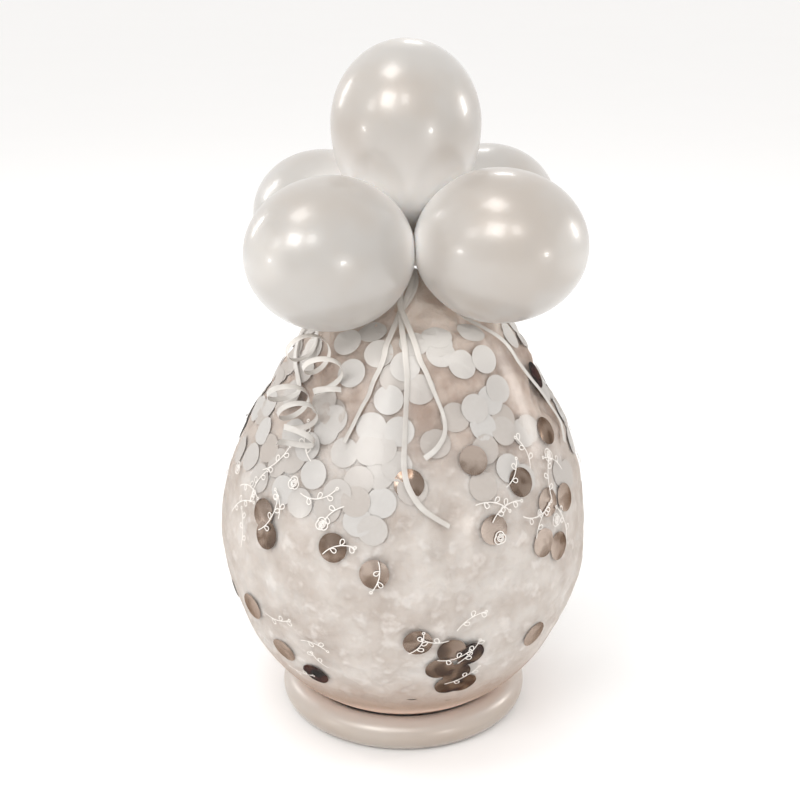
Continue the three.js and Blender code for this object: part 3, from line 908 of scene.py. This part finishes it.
for bearing, height in scattered(SCATTERED_FOIL, SCATTER_FROM, SCATTERED_FOIL_TO):
    if abs(bearing) > FOIL_FROM_BEARING:
        shade = chance.uniform(*SCATTERED_FOIL_SHADES)
        foil_discs.append((shade, bearing, height, TISSUE_DEPTH, SCATTERED_FOIL_TILT))

tissue_paper = Finish("tissue_paper", Specular_IOR_Level=0.3, Alpha=0.8)
tissue_fibre = tissue_paper.ramp(tissue_paper.noise(TISSUE_FIBRES, detail=4), 0.3, 0.75, 0.0, 0.25)
tissue_shade = tissue_paper.node("ShaderNodeMath", operation="ADD", use_clamp=True)
tissue_paper.link(tissue_paper.mark("shade"), tissue_shade.inputs[0])
tissue_paper.link(tissue_fibre, tissue_shade.inputs[1])
tissue_tone = tissue_paper.blend(tissue_shade.outputs[0], TISSUE_WHITE, TISSUE_DULL)
# Painted light: discs up in the shade under the cluster get a lighter colour.
tissue_paper.colour(tissue_paper.blend(tissue_paper.mark("neck"), tissue_tone, TISSUE_PAINTED_LIGHT))
tissue_paper.roughness(tissue_paper.ramp(tissue_paper.noise(TISSUE_GRAIN), 0.3, 0.7, 0.65, 0.85))
tissue_paper.bump(tissue_paper.noise(TISSUE_FUZZ, detail=3), 0.15, 0.0004)
add_discs("tissue_discs", tissue_discs, tissue_paper.material)

silver_foil = Finish("silver_foil", Metallic=1.0, Specular_Tint=FOIL_EDGE)
foil_streaks = silver_foil.noise(FOIL_STREAKS, detail=1)
# Painted reflection: the foil's shade is scaled across each disc by its slant and broken up by streaks.
foil_shade = silver_foil.node("ShaderNodeMath", operation="MULTIPLY_ADD", use_clamp=True)
silver_foil.link(silver_foil.mark("shade"), foil_shade.inputs[0])
silver_foil.link(silver_foil.mark("gleam"), foil_shade.inputs[1])
# Painted reflection: streaks in the colour stand for light mirrored in the crinkled foil.
foil_painted_streaks = silver_foil.ramp(foil_streaks, 0.42, 0.58, -FOIL_PAINTED_STREAKS, FOIL_PAINTED_STREAKS)
silver_foil.link(foil_painted_streaks, foil_shade.inputs[2])
# The foil's tone follows its shade: partly its own colour and partly a painted reflection.
foil_low = silver_foil.ramp(foil_shade.outputs[0], 0, FOIL_BROWN_AT)
foil_high = silver_foil.ramp(foil_shade.outputs[0], FOIL_BROWN_AT, 1)
foil_tone = silver_foil.blend(foil_low, FOIL_DARK, FOIL_BROWN)
silver_foil.colour(silver_foil.blend(foil_high, foil_tone, FOIL_BRIGHT))
silver_foil.roughness(silver_foil.ramp(silver_foil.noise(FOIL_SMEARS, detail=0), 0.3, 0.7, 0.12, 0.22))
silver_foil.bump(foil_streaks, 0.15, 0.002)
add_discs("foil_discs", foil_discs, silver_foil.material)

# Ribbon tails: flat white curling ribbon of ribbed polypropylene, left long at the tie.
# Four tails hang down the film, three of them turned partly onto their edge.
# Two at the left were drawn over a blade and curled up.
RIBBON_WIDTH = 0.005
RIBBON_THICKNESS = 0.0003
RIBBON_STEP = 0.0015
LAID_STEPS = 10
ROLL_FROM = 0.392
ROLL_TO = 0.360
ROLL_SWING = 0.35
ROLL_LENGTH = 0.12
ROLL_SEAT = 0.0008
CURL_RADIUS = (0.0170, 0.0142)
CURL_SWAY = 0.08
CURL_SWAY_RATE = 0.61
CURL_SWAY_START = 1
CURL_EASE = 8
CURL_LIFT = 0.0008
CURL_CLEARANCE = 0.0014
CURL_STEPS = 18
CURL_ROUTE_STEPS = 40
STEM_LEFT_OUT = 20
STEM_EVERY = 4
JOIN_STEPS = 6
RIBBON_RIBS = 7
RIBBON_CLOUDS = 70
RIBBON_GRAIN = 400
RIBBON_PALE = (0.58, 0.555, 0.52)
RIBBON_SHADE = (0.50, 0.465, 0.43)
RIBBON_PAINTED_LIGHT = (0.76, 0.72, 0.67)

# Bearing in degrees and height and lift in millimetres of each place on a tail's way down the film.
RIBBON_LEFT = [
    (14, 421, 1), (10, 413, 1), (4, 407, 1), (-3, 400, 1), (-9, 394, 1), (-11, 388, 1), (-12, 382, 1),
    (-13, 375, 1), (-13, 368, 1), (-14, 360, 1), (-16, 350, 1), (-17, 340, 1), (-19, 330, 1),
    (-21, 317, 1), (-23, 304, 1),
]
RIBBON_MIDDLE = [
    (4, 421, 2.6), (2, 413, 2.6), (-2, 406, 2.6), (-6, 400, 2.6), (-8, 394, 2.6), (-7, 388, 2.6),
    (-5, 382, 2.6), (-3, 375, 2), (-2, 366, 1.2), (-1, 353, 1), (-1, 338, 1), (-1, 322, 1), (-1, 307, 1),
    (-1, 293, 1), (0, 280, 1), (2, 270, 1), (5, 260, 1), (9, 252, 1), (13, 245, 1),
]
RIBBON_RIGHT = [
    (-8, 421, 4.2), (-11, 413, 4.2), (-13, 406, 4.2), (-12, 400, 4.2), (-9, 394, 4.2), (-4, 388, 4.2),
    (0, 382, 4), (3, 375, 2.6), (5, 366, 1.4), (8, 356, 1), (10, 346, 1), (12, 336, 1), (13.5, 327, 1),
    (14, 318, 1), (13, 310, 1), (10, 302, 1), (6, 296, 1),
]
RIBBON_FAR_RIGHT = [
    (44, 421, 1), (40, 411, 1), (38, 404, 1), (41, 397, 1), (45, 391, 1), (48, 385, 1), (52, 378, 1),
    (57, 370, 1), (60, 361, 1), (61, 352, 1), (63, 343, 1), (66, 332, 1), (69, 322, 1), (72, 307, 1),
    (74, 292, 1), (72, 284, 1), (69, 277, 1),
]
UPPER_STEM = [
    (-64, 421, 1), (-66, 414, 1), (-68, 408, 1), (-70, 403, 1), (-71, 399, 1), (-71, 396, 1), (-71, 393, 1),
    (-71, 390, 1), (-70, 387, 1), (-69, 384, 1), (-68, 381, 1), (-66, 378, 1), (-64, 375, 1), (-62, 372, 1),
    (-60, 369, 1),
]
LOWER_STEM = [
    (-100, 421, 1), (-100, 414, 1), (-99, 408, 1), (-98, 402, 1), (-97, 397, 1), (-96, 392, 1),
    (-94, 387, 1), (-91, 382, 1), (-88, 377, 1), (-84, 371, 1), (-79, 365, 1), (-74, 358, 1),
    (-68, 351, 1), (-62, 344, 1), (-56, 338, 1),
]
UPPER_CURL = [(-55, 364), (-44, 358), (-36, 349), (-29, 333)]
LOWER_CURL = [(-51, 332), (-45, 322), (-39, 312), (-37, 300), (-37, 290)]
UPPER_TURNS = 2.7
LOWER_TURNS = 3.4
MILLIMETRE = 0.001


def between(wanted, places, points):
    """Points read off at the places wanted, from points whose places along a path are known."""
    return np.stack([np.interp(wanted, places, points[:, axis]) for axis in range(3)], axis=1)


def even_path(points, facings):
    """A path and its facings at even steps of the ribbon's length."""
    distance = along_path(points)
    count = int(distance[-1] / RIBBON_STEP) + 1
    wanted = np.linspace(0, distance[-1], count)
    return between(wanted, distance, points), between(wanted, distance, facings)


def laid_route(route):
    """A tail's path down the film, with the way that its flat face looks."""
    bearing, height, lift = np.array(route, float).T
    points, outward = film_point(bearing, height * MILLIMETRE, lift * MILLIMETRE)
    return smooth_curve(points, LAID_STEPS), smooth_curve(outward, LAID_STEPS)


def curled_route(ends, turns):
    """The turns of a curled tail, rolling along the film with their flat face to the middle of the curl."""
    bearing, height = smooth_curve(ends, CURL_ROUTE_STEPS).T
    foot, outward = film_point(bearing, height * MILLIMETRE, CURL_LIFT)
    along = along_path(foot) / along_path(foot)[-1]
    share = np.linspace(0, 1, int(turns * CURL_STEPS))
    foot = between(share, along, foot)
    outward = between(share, along, outward)
    ahead = np.gradient(foot, axis=0)
    sideways = np.cross(ahead, outward)
    sideways /= np.linalg.norm(sideways, axis=1, keepdims=True)
    turn = (2 * math.pi * turns * share)[:, None]
    inward = np.cos(turn) * outward - np.sin(turn) * sideways
    sway = 1 + CURL_SWAY * np.sin(CURL_SWAY_RATE * turn + CURL_SWAY_START)
    loop = np.linspace(*CURL_RADIUS, len(share))[:, None] * sway
    return foot + loop * (outward - inward), inward


def over_film(path):
    """A path with the places that would dip into the film lifted out of it."""
    skin, outward, over = film_at(path)
    return path + np.maximum(CURL_CLEARANCE - over, 0)[:, None] * outward


def rolled(path, facing, roll):
    """A laid tail turned partly onto its edge below the neck, and lifted to keep its low edge on the film."""
    across = np.cross(facing, np.gradient(path, axis=0))
    across /= np.linalg.norm(across, axis=1, keepdims=True)
    swing = 1 + ROLL_SWING * np.sin(2 * math.pi * along_path(path) / ROLL_LENGTH)
    angle = (roll * swing * smooth_step(-path[:, 2], -ROLL_FROM, -ROLL_TO))[:, None]
    lift = np.maximum(RIBBON_WIDTH / 2 * np.abs(np.sin(angle)) - ROLL_SEAT, 0)
    return path + lift * facing, np.cos(angle) * facing + np.sin(angle) * across


def softened(points):
    """A path with its kinks eased out."""
    reach = np.arange(-CURL_EASE, CURL_EASE + 1)
    weight = 0.5 + 0.5 * np.cos(math.pi * reach / (CURL_EASE + 1))
    padded = np.concatenate([[points[0]] * CURL_EASE, points, [points[-1]] * CURL_EASE])
    eased = [np.convolve(padded[:, axis], weight / weight.sum(), "valid") for axis in range(3)]
    return np.stack(eased, axis=1)


def ribbon_skin(path, facing, width=RIBBON_WIDTH):
    """A flat strip with rounded edges along a path."""
    ahead = np.gradient(path, axis=0)
    ahead /= np.linalg.norm(ahead, axis=1, keepdims=True)
    across = np.cross(facing, ahead)
    across /= np.linalg.norm(across, axis=1, keepdims=True)
    face = np.cross(ahead, across)
    half = width / 2
    rise = RIBBON_THICKNESS / 2
    flat = [half - rise, half / 3, -half / 3, rise - half]
    front = [(half, 0)] + [(aside, rise) for aside in flat]
    back = [(-half, 0)] + [(aside, -rise) for aside in flat[::-1]]
    section = front + back
    grid = np.stack([path + aside * across + up * face for aside, up in section], axis=1)
    breadth = [aside / width + 0.5 for aside, up in section]
    skin = grid_skin(grid, cap_first=True, cap_last=True)
    marks = breadth * len(path) + [0.5] * (len(skin[0]) - len(path) * len(section))
    return skin, marks


ribbon_film = Finish("ribbon", IOR=1.49, Specular_IOR_Level=0.6, Coat_Weight=0.15, Coat_Roughness=0.2)
ribbon_rib = ribbon_film.node("ShaderNodeMath", operation="SINE")
ribbon_breadth = ribbon_film.ramp(ribbon_film.mark("breadth"), 0, 1, 0, 2 * math.pi * RIBBON_RIBS)
ribbon_film.link(ribbon_breadth, ribbon_rib.inputs[0])
ribbon_cloud = ribbon_film.ramp(ribbon_film.noise(RIBBON_CLOUDS, detail=3), 0.35, 0.7)
ribbon_tone = ribbon_film.blend(ribbon_cloud, RIBBON_PALE, RIBBON_SHADE)
# Painted light: the ribbon's colour is lighter where it runs up into the shade under the cluster.
ribbon_film.colour(ribbon_film.blend(ribbon_film.mark("neck"), ribbon_tone, RIBBON_PAINTED_LIGHT))
ribbon_film.roughness(ribbon_film.ramp(ribbon_film.noise(RIBBON_GRAIN), 0.3, 0.7, 0.28, 0.42))
ribbon_film.bump(ribbon_rib.outputs[0], 0.25, 0.0001)


def add_ribbon(name, route, nodes, roll=0, curl=None, turns=0):
    """A ribbon tail that starts at the tie; its roll is in degrees."""
    points, facings = laid_route(route)
    if curl:
        curl_points, curl_facings = curled_route(curl, turns)
        stem = slice(0, -STEM_LEFT_OUT, STEM_EVERY)
        points = smooth_curve(np.concatenate([points[stem], curl_points]), JOIN_STEPS)
        facings = smooth_curve(np.concatenate([facings[stem], curl_facings]), JOIN_STEPS)
    path, facing = even_path(points, facings)
    if curl:
        path, facing = even_path(softened(over_film(path)), softened(facing))
    path, facing = rolled(path, facing, math.radians(roll))
    skin, breadth = ribbon_skin(path, facing)
    tail = add_piece(name, skin, ribbon_film.material, breadth=breadth, neck=shaded(skin))
    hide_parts(*nodes)


add_ribbon("ribbon_tail_left", RIBBON_LEFT, ["ribbon_left"], roll=-24)
add_ribbon("ribbon_tail_middle", RIBBON_MIDDLE, ["ribbon_middle"], roll=28)
add_ribbon("ribbon_tail_right", RIBBON_RIGHT, ["ribbon_right"], roll=26)
add_ribbon("ribbon_tail_far_right", RIBBON_FAR_RIGHT, ["ribbon_far_right"])
add_ribbon(
    "ribbon_tail_upper_curl", UPPER_STEM, ["ribbon_upper_curl_stem", "ribbon_upper_curl"],
    curl=UPPER_CURL, turns=UPPER_TURNS,
)
add_ribbon(
    "ribbon_tail_lower_curl", LOWER_STEM, ["ribbon_lower_curl_stem", "ribbon_lower_curl"],
    curl=LOWER_CURL, turns=LOWER_TURNS,
)

# Neck tie: the same curling ribbon wound tight round the gathered neck, to hold the tails and the cluster.
# Its turns lie one above the other and overlap a little.
TIE_BOTTOM = 0.4238
TIE_HEIGHT = 0.0054
TIE_TURNS = 3
TIE_RADIUS = 0.0116
TIE_SWELL = 0.0012
TIE_WIDTH = RIBBON_WIDTH * 0.5
TIE_LIFT = 0.0014
TIE_RIPPLES = 7
TIE_RIPPLE = 0.0002
TIE_STEPS = 48

tie_turn = np.linspace(0, 2 * math.pi * TIE_TURNS, TIE_TURNS * TIE_STEPS)
tie_rise = (tie_turn / tie_turn[-1]) * (TIE_HEIGHT - TIE_WIDTH)
tie_swell = TIE_SWELL * np.linspace(0, 1, len(tie_turn))
tie_radius = TIE_RADIUS + tie_swell + TIE_RIPPLE * np.sin(TIE_RIPPLES * tie_turn)
tie_path = np.stack([
    NECK_LEAN + tie_radius * np.sin(tie_turn),
    -tie_radius * np.cos(tie_turn),
    TIE_BOTTOM + TIE_LIFT + tie_rise,
], axis=1)
tie_facing = np.stack([np.sin(tie_turn), -np.cos(tie_turn), np.zeros(len(tie_turn))], axis=1)
tie_skin, tie_breadth = ribbon_skin(tie_path, tie_facing, TIE_WIDTH)
# Painted light: the tie has the ribbon's lighter colour all over, in the shade under the cluster.
neck_tie = add_piece(
    "neck_tie_ribbon", tie_skin, ribbon_film.material, breadth=tie_breadth, neck=np.ones(len(tie_breadth))
)
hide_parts("neck_tie")

# Pearl balloons: five small round latex balloons, each tied in a knot of its own neck.
# They sit in a ring of four with one standing on top, and press flat on each other where they meet.
PEARL_RADIUS = 0.0635
PEARL_NECK_RADIUS = 0.0045
PEARL_FULLNESS = 0.65
PEARL_STEPS = 96
PEARL_NECK_STEPS = 40
PEARL_CROWN_STEPS = 34
NECK_SLACK = (0.55, 1.02)
CROWN_SLACK = (0.9, 1.0)
CROWN_SLACKNESS = 0.35
KNOT_LENGTH = 0.008
KNOT_RADIUS = 0.005
KNOT_WAIST = 0.0035
KNOT_FULLNESS = 0.6
KNOT_SHARE = 0.9
KNOT_STEPS = 12
TOP_CROWN = 0.070
TOP_NECK = 0.092
TOP_CENTRE = Vector((0.002, 0, 0.544))
TOP_CONTACT = 0.071
TOP_CONTACT_SLOPE = math.radians(43)
SIDE_CROWN = 0.079
SIDE_NECK = 0.078
SIDE_DISTANCE = 0.096
SIDE_TILT = math.radians(8)
CLUSTER_TURN = math.radians(3)
CONTACT_GAP = 0.00025
CROWDING_WRAP = 0.3
PEARL_GLOSS = 0.09
PEARL_LIGHT = (0.465, 0.447, 0.425)
PEARL_WARM = (0.435, 0.395, 0.357)
# Bearing in degrees and height of each side balloon.
SIDE_PEARLS = {
    "front_left": (-45, 0.450),
    "front_right": (45, 0.455),
    "back_right": (135, 0.450),
    "back_left": (-135, 0.446),
}


def pearl_grid(crown, neck):
    """A balloon along +Z, widest at the origin, with its knot below; and how slack its latex is."""
    knot = np.linspace(0, math.pi, KNOT_STEPS)[1:]
    knot_radius = KNOT_WAIST + (KNOT_RADIUS - KNOT_WAIST) * np.sin(knot) ** KNOT_FULLNESS
    knot_radius[0] = KNOT_WAIST
    knot_height = -neck - KNOT_LENGTH + knot / math.pi * KNOT_LENGTH * KNOT_SHARE
    share = np.cos(np.linspace(0, math.pi / 2, PEARL_NECK_STEPS, endpoint=False))
    neck_radius = PEARL_NECK_RADIUS + (PEARL_RADIUS - PEARL_NECK_RADIUS) * (1 - share ** 2) ** PEARL_FULLNESS
    angle = np.linspace(0, math.pi / 2, PEARL_CROWN_STEPS, endpoint=False)
    radius = np.concatenate([knot_radius, neck_radius, PEARL_RADIUS * np.cos(angle)])[:, None]
    height = np.concatenate([knot_height, -neck * share, crown * np.sin(angle)])[:, None]
    around = full_turn(PEARL_STEPS)[None, :]
    height = np.broadcast_to(height, (len(radius), PEARL_STEPS))
    neck_slack = smooth_step(-height / neck, *NECK_SLACK)
    crown_slack = CROWN_SLACKNESS * smooth_step(height / crown, *CROWN_SLACK)
    points = np.stack([radius * np.cos(around), radius * np.sin(around), height], axis=2)
    return points, neck_slack + crown_slack


def press_flat(points, place, outward):
    """Points with what stands past a plane flattened onto it."""
    past = np.maximum((points - np.array(place)) @ np.array(outward), 0)
    return points - past[..., None] * np.array(outward)


def top_contact(bearing):
    """The plane in which the top balloon and the side balloon at a bearing press on each other."""
    angle = math.radians(bearing) + CLUSTER_TURN
    level = math.cos(TOP_CONTACT_SLOPE)
    down = Vector((level * math.sin(angle), -level * math.cos(angle), -math.sin(TOP_CONTACT_SLOPE)))
    return TOP_CENTRE + TOP_CONTACT * down, down


def turned(points, matrix):
    return points @ np.array(matrix.to_3x3()).T + np.array(matrix.translation)


def side_pearl(bearing, height):
    """A side balloon points out at its bearing, tilted up, flat against its neighbours and the top one."""
    points, slack = pearl_grid(SIDE_CROWN, SIDE_NECK)
    angle = math.radians(bearing)
    level = Vector((math.sin(angle), -math.cos(angle), 0))
    out = (level + Vector((0, 0, math.tan(SIDE_TILT)))).normalized()
    turn = Vector((0, 0, 1)).rotation_difference(out).to_matrix().to_4x4()
    points = turned(points, Matrix.Translation(SIDE_DISTANCE * level + Vector((0, 0, height))) @ turn)
    for axis in (0, 1):
        side = math.copysign(1, level[axis])
        points[..., axis] = side * np.maximum(points[..., axis] * side, CONTACT_GAP)
    points = turned(points, Matrix.Translation((NECK_LEAN, 0, 0)) @ Matrix.Rotation(CLUSTER_TURN, 4, "Z"))
    place, down = top_contact(bearing)
    return press_flat(points, place + CONTACT_GAP * down, -down), slack


def top_pearl():
    """The top balloon stands in the hollow between the four side ones, which flatten its lower half."""
    points, slack = pearl_grid(TOP_CROWN, TOP_NECK)
    points = points + np.array(TOP_CENTRE)
    for bearing, height in SIDE_PEARLS.values():
        points = press_flat(points, *top_contact(bearing))
    return points, slack


# This crowding is the share of painted light on each pearl: its colour goes lighter where the balloons press
# together.
def crowded_by(points, middle, others):
    """How much of what each point of a balloon faces is taken up by the other balloons, from 0 to 1."""
    facing = points - middle
    facing /= np.linalg.norm(facing, axis=-1, keepdims=True)
    taken = np.zeros(points.shape[:-1])
    for other in others:
        towards = other - points
        distance = np.linalg.norm(towards, axis=-1)
        level = (np.sum(facing * towards, axis=-1) / distance + CROWDING_WRAP) / (1 + CROWDING_WRAP)
        taken += np.minimum(PEARL_RADIUS / distance, 1) ** 2 * np.maximum(level, 0)
    return np.minimum(taken, 1) ** 2


pearl_latex = pearl_finish("pearl_latex", PEARL_GLOSS, PEARL_LIGHT, PEARL_WARM)
pearl_shapes = {"top": top_pearl()}
pearl_middles = {"top": np.array(TOP_CENTRE)}
for place, (bearing, height) in SIDE_PEARLS.items():
    pearl_shapes[place] = side_pearl(bearing, height)
    angle = math.radians(bearing) + CLUSTER_TURN
    across = NECK_LEAN + SIDE_DISTANCE * math.sin(angle)
    pearl_middles[place] = np.array([across, -SIDE_DISTANCE * math.cos(angle), height])
for place, (points, slack) in pearl_shapes.items():
    others = [middle for name, middle in pearl_middles.items() if name != place]
    # Painted light: each pearl's colour goes lighter where it is crowded.
    painted_light_share = crowded_by(points, pearl_middles[place], others)
    pearl = add_piece(
        f"pearl_latex_{place}", grid_skin(points, cap_first=True, cap_last=True), pearl_latex,
        slack=with_middles(slack, 1.0, CROWN_SLACKNESS), crowding=with_middles(painted_light_share, 1.0, 0.0),
    )
    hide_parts(f"pearl_balloon_{place}")

# Studio: a pale floor and soft light from a broad window in front, smaller lamps and a bright room.
# Each lamp is given by where it lies from the balloon, across, up and towards the camera, its size and power.
FLOOR_SIZE = 60.0
FLOOR_COLOUR = (0.98, 0.98, 0.98)
FLOOR_CLOUD = (0.97, 0.97, 0.97)
FLOOR_CLOUDS = 3
ROOM_COLOUR = (1.0, 0.985, 0.97, 1.0)
ROOM_STRENGTH = 0.96
LAMP_DISTANCE = 2.4
LAMP_AIM = np.array([0.0, 0.0, 0.32])
LAMPS = {
    "window_middle": ((-0.40, 0.345, 0.84), (0.80, 0.75), 13),
    "window_left": ((-0.74, 0.27, 0.61), (0.40, 0.55), 2.2),
    "window_right": ((-0.02, 0.34, 0.93), (0.40, 0.55), 4),
    "window_top": ((-0.28, 0.83, 0.48), (0.8, 0.7), 9),
    "lamp_left": ((-0.90, -0.12, 0.41), (0.22, 0.22), 2.4),
    "lamp_right": ((0.60, -0.24, 0.76), (0.22, 0.22), 4.0),
    "strip_left": ((-0.78, 0.49, -0.37), (0.32, 0.80), 5),
    "strip_right": ((0.93, 0.34, -0.10), (0.36, 0.60), 8),
    "lamp_back": ((0.07, 0.85, -0.52), (0.36, 0.30), 2),
}

floor_points = np.array([[(-1, -1, 0), (1, -1, 0)], [(-1, 1, 0), (1, 1, 0)]]) * FLOOR_SIZE / 2
floor_paint = Finish("pale_floor", Roughness=0.7, Specular_IOR_Level=0.2)
floor_paint.colour(floor_paint.blend(floor_paint.noise(FLOOR_CLOUDS), FLOOR_COLOUR, FLOOR_CLOUD))
floor_mesh = bpy.data.meshes.new("floor")
floor_vertices, floor_faces = grid_skin(floor_points, round_columns=False)
floor_mesh.from_pydata(floor_vertices, [], floor_faces)
floor_mesh.materials.append(floor_paint.material)
floor = bpy.data.objects.new("floor", floor_mesh)
bpy.context.scene.collection.objects.link(floor)

for name, (direction, size, power) in LAMPS.items():
    lamp = bpy.data.lights.new(name, "AREA")
    lamp.shape = "RECTANGLE"
    lamp.size, lamp.size_y = size
    lamp.energy = power
    across, up, back = direction
    towards = across * view_right + up * view_up + back * view_back
    towards /= np.linalg.norm(towards)
    holder = bpy.data.objects.new(name, lamp)
    holder.location = LAMP_AIM + LAMP_DISTANCE * towards
    holder.rotation_euler = Vector(towards).to_track_quat("Z", "Y").to_euler()
    bpy.context.scene.collection.objects.link(holder)

room = bpy.data.worlds.new("bright_room")
room.use_nodes = True
room.node_tree.nodes["Background"].inputs["Color"].default_value = ROOM_COLOUR
room.node_tree.nodes["Background"].inputs["Strength"].default_value = ROOM_STRENGTH
bpy.context.scene.world = room
bpy.context.scene.view_settings.view_transform = "Standard"
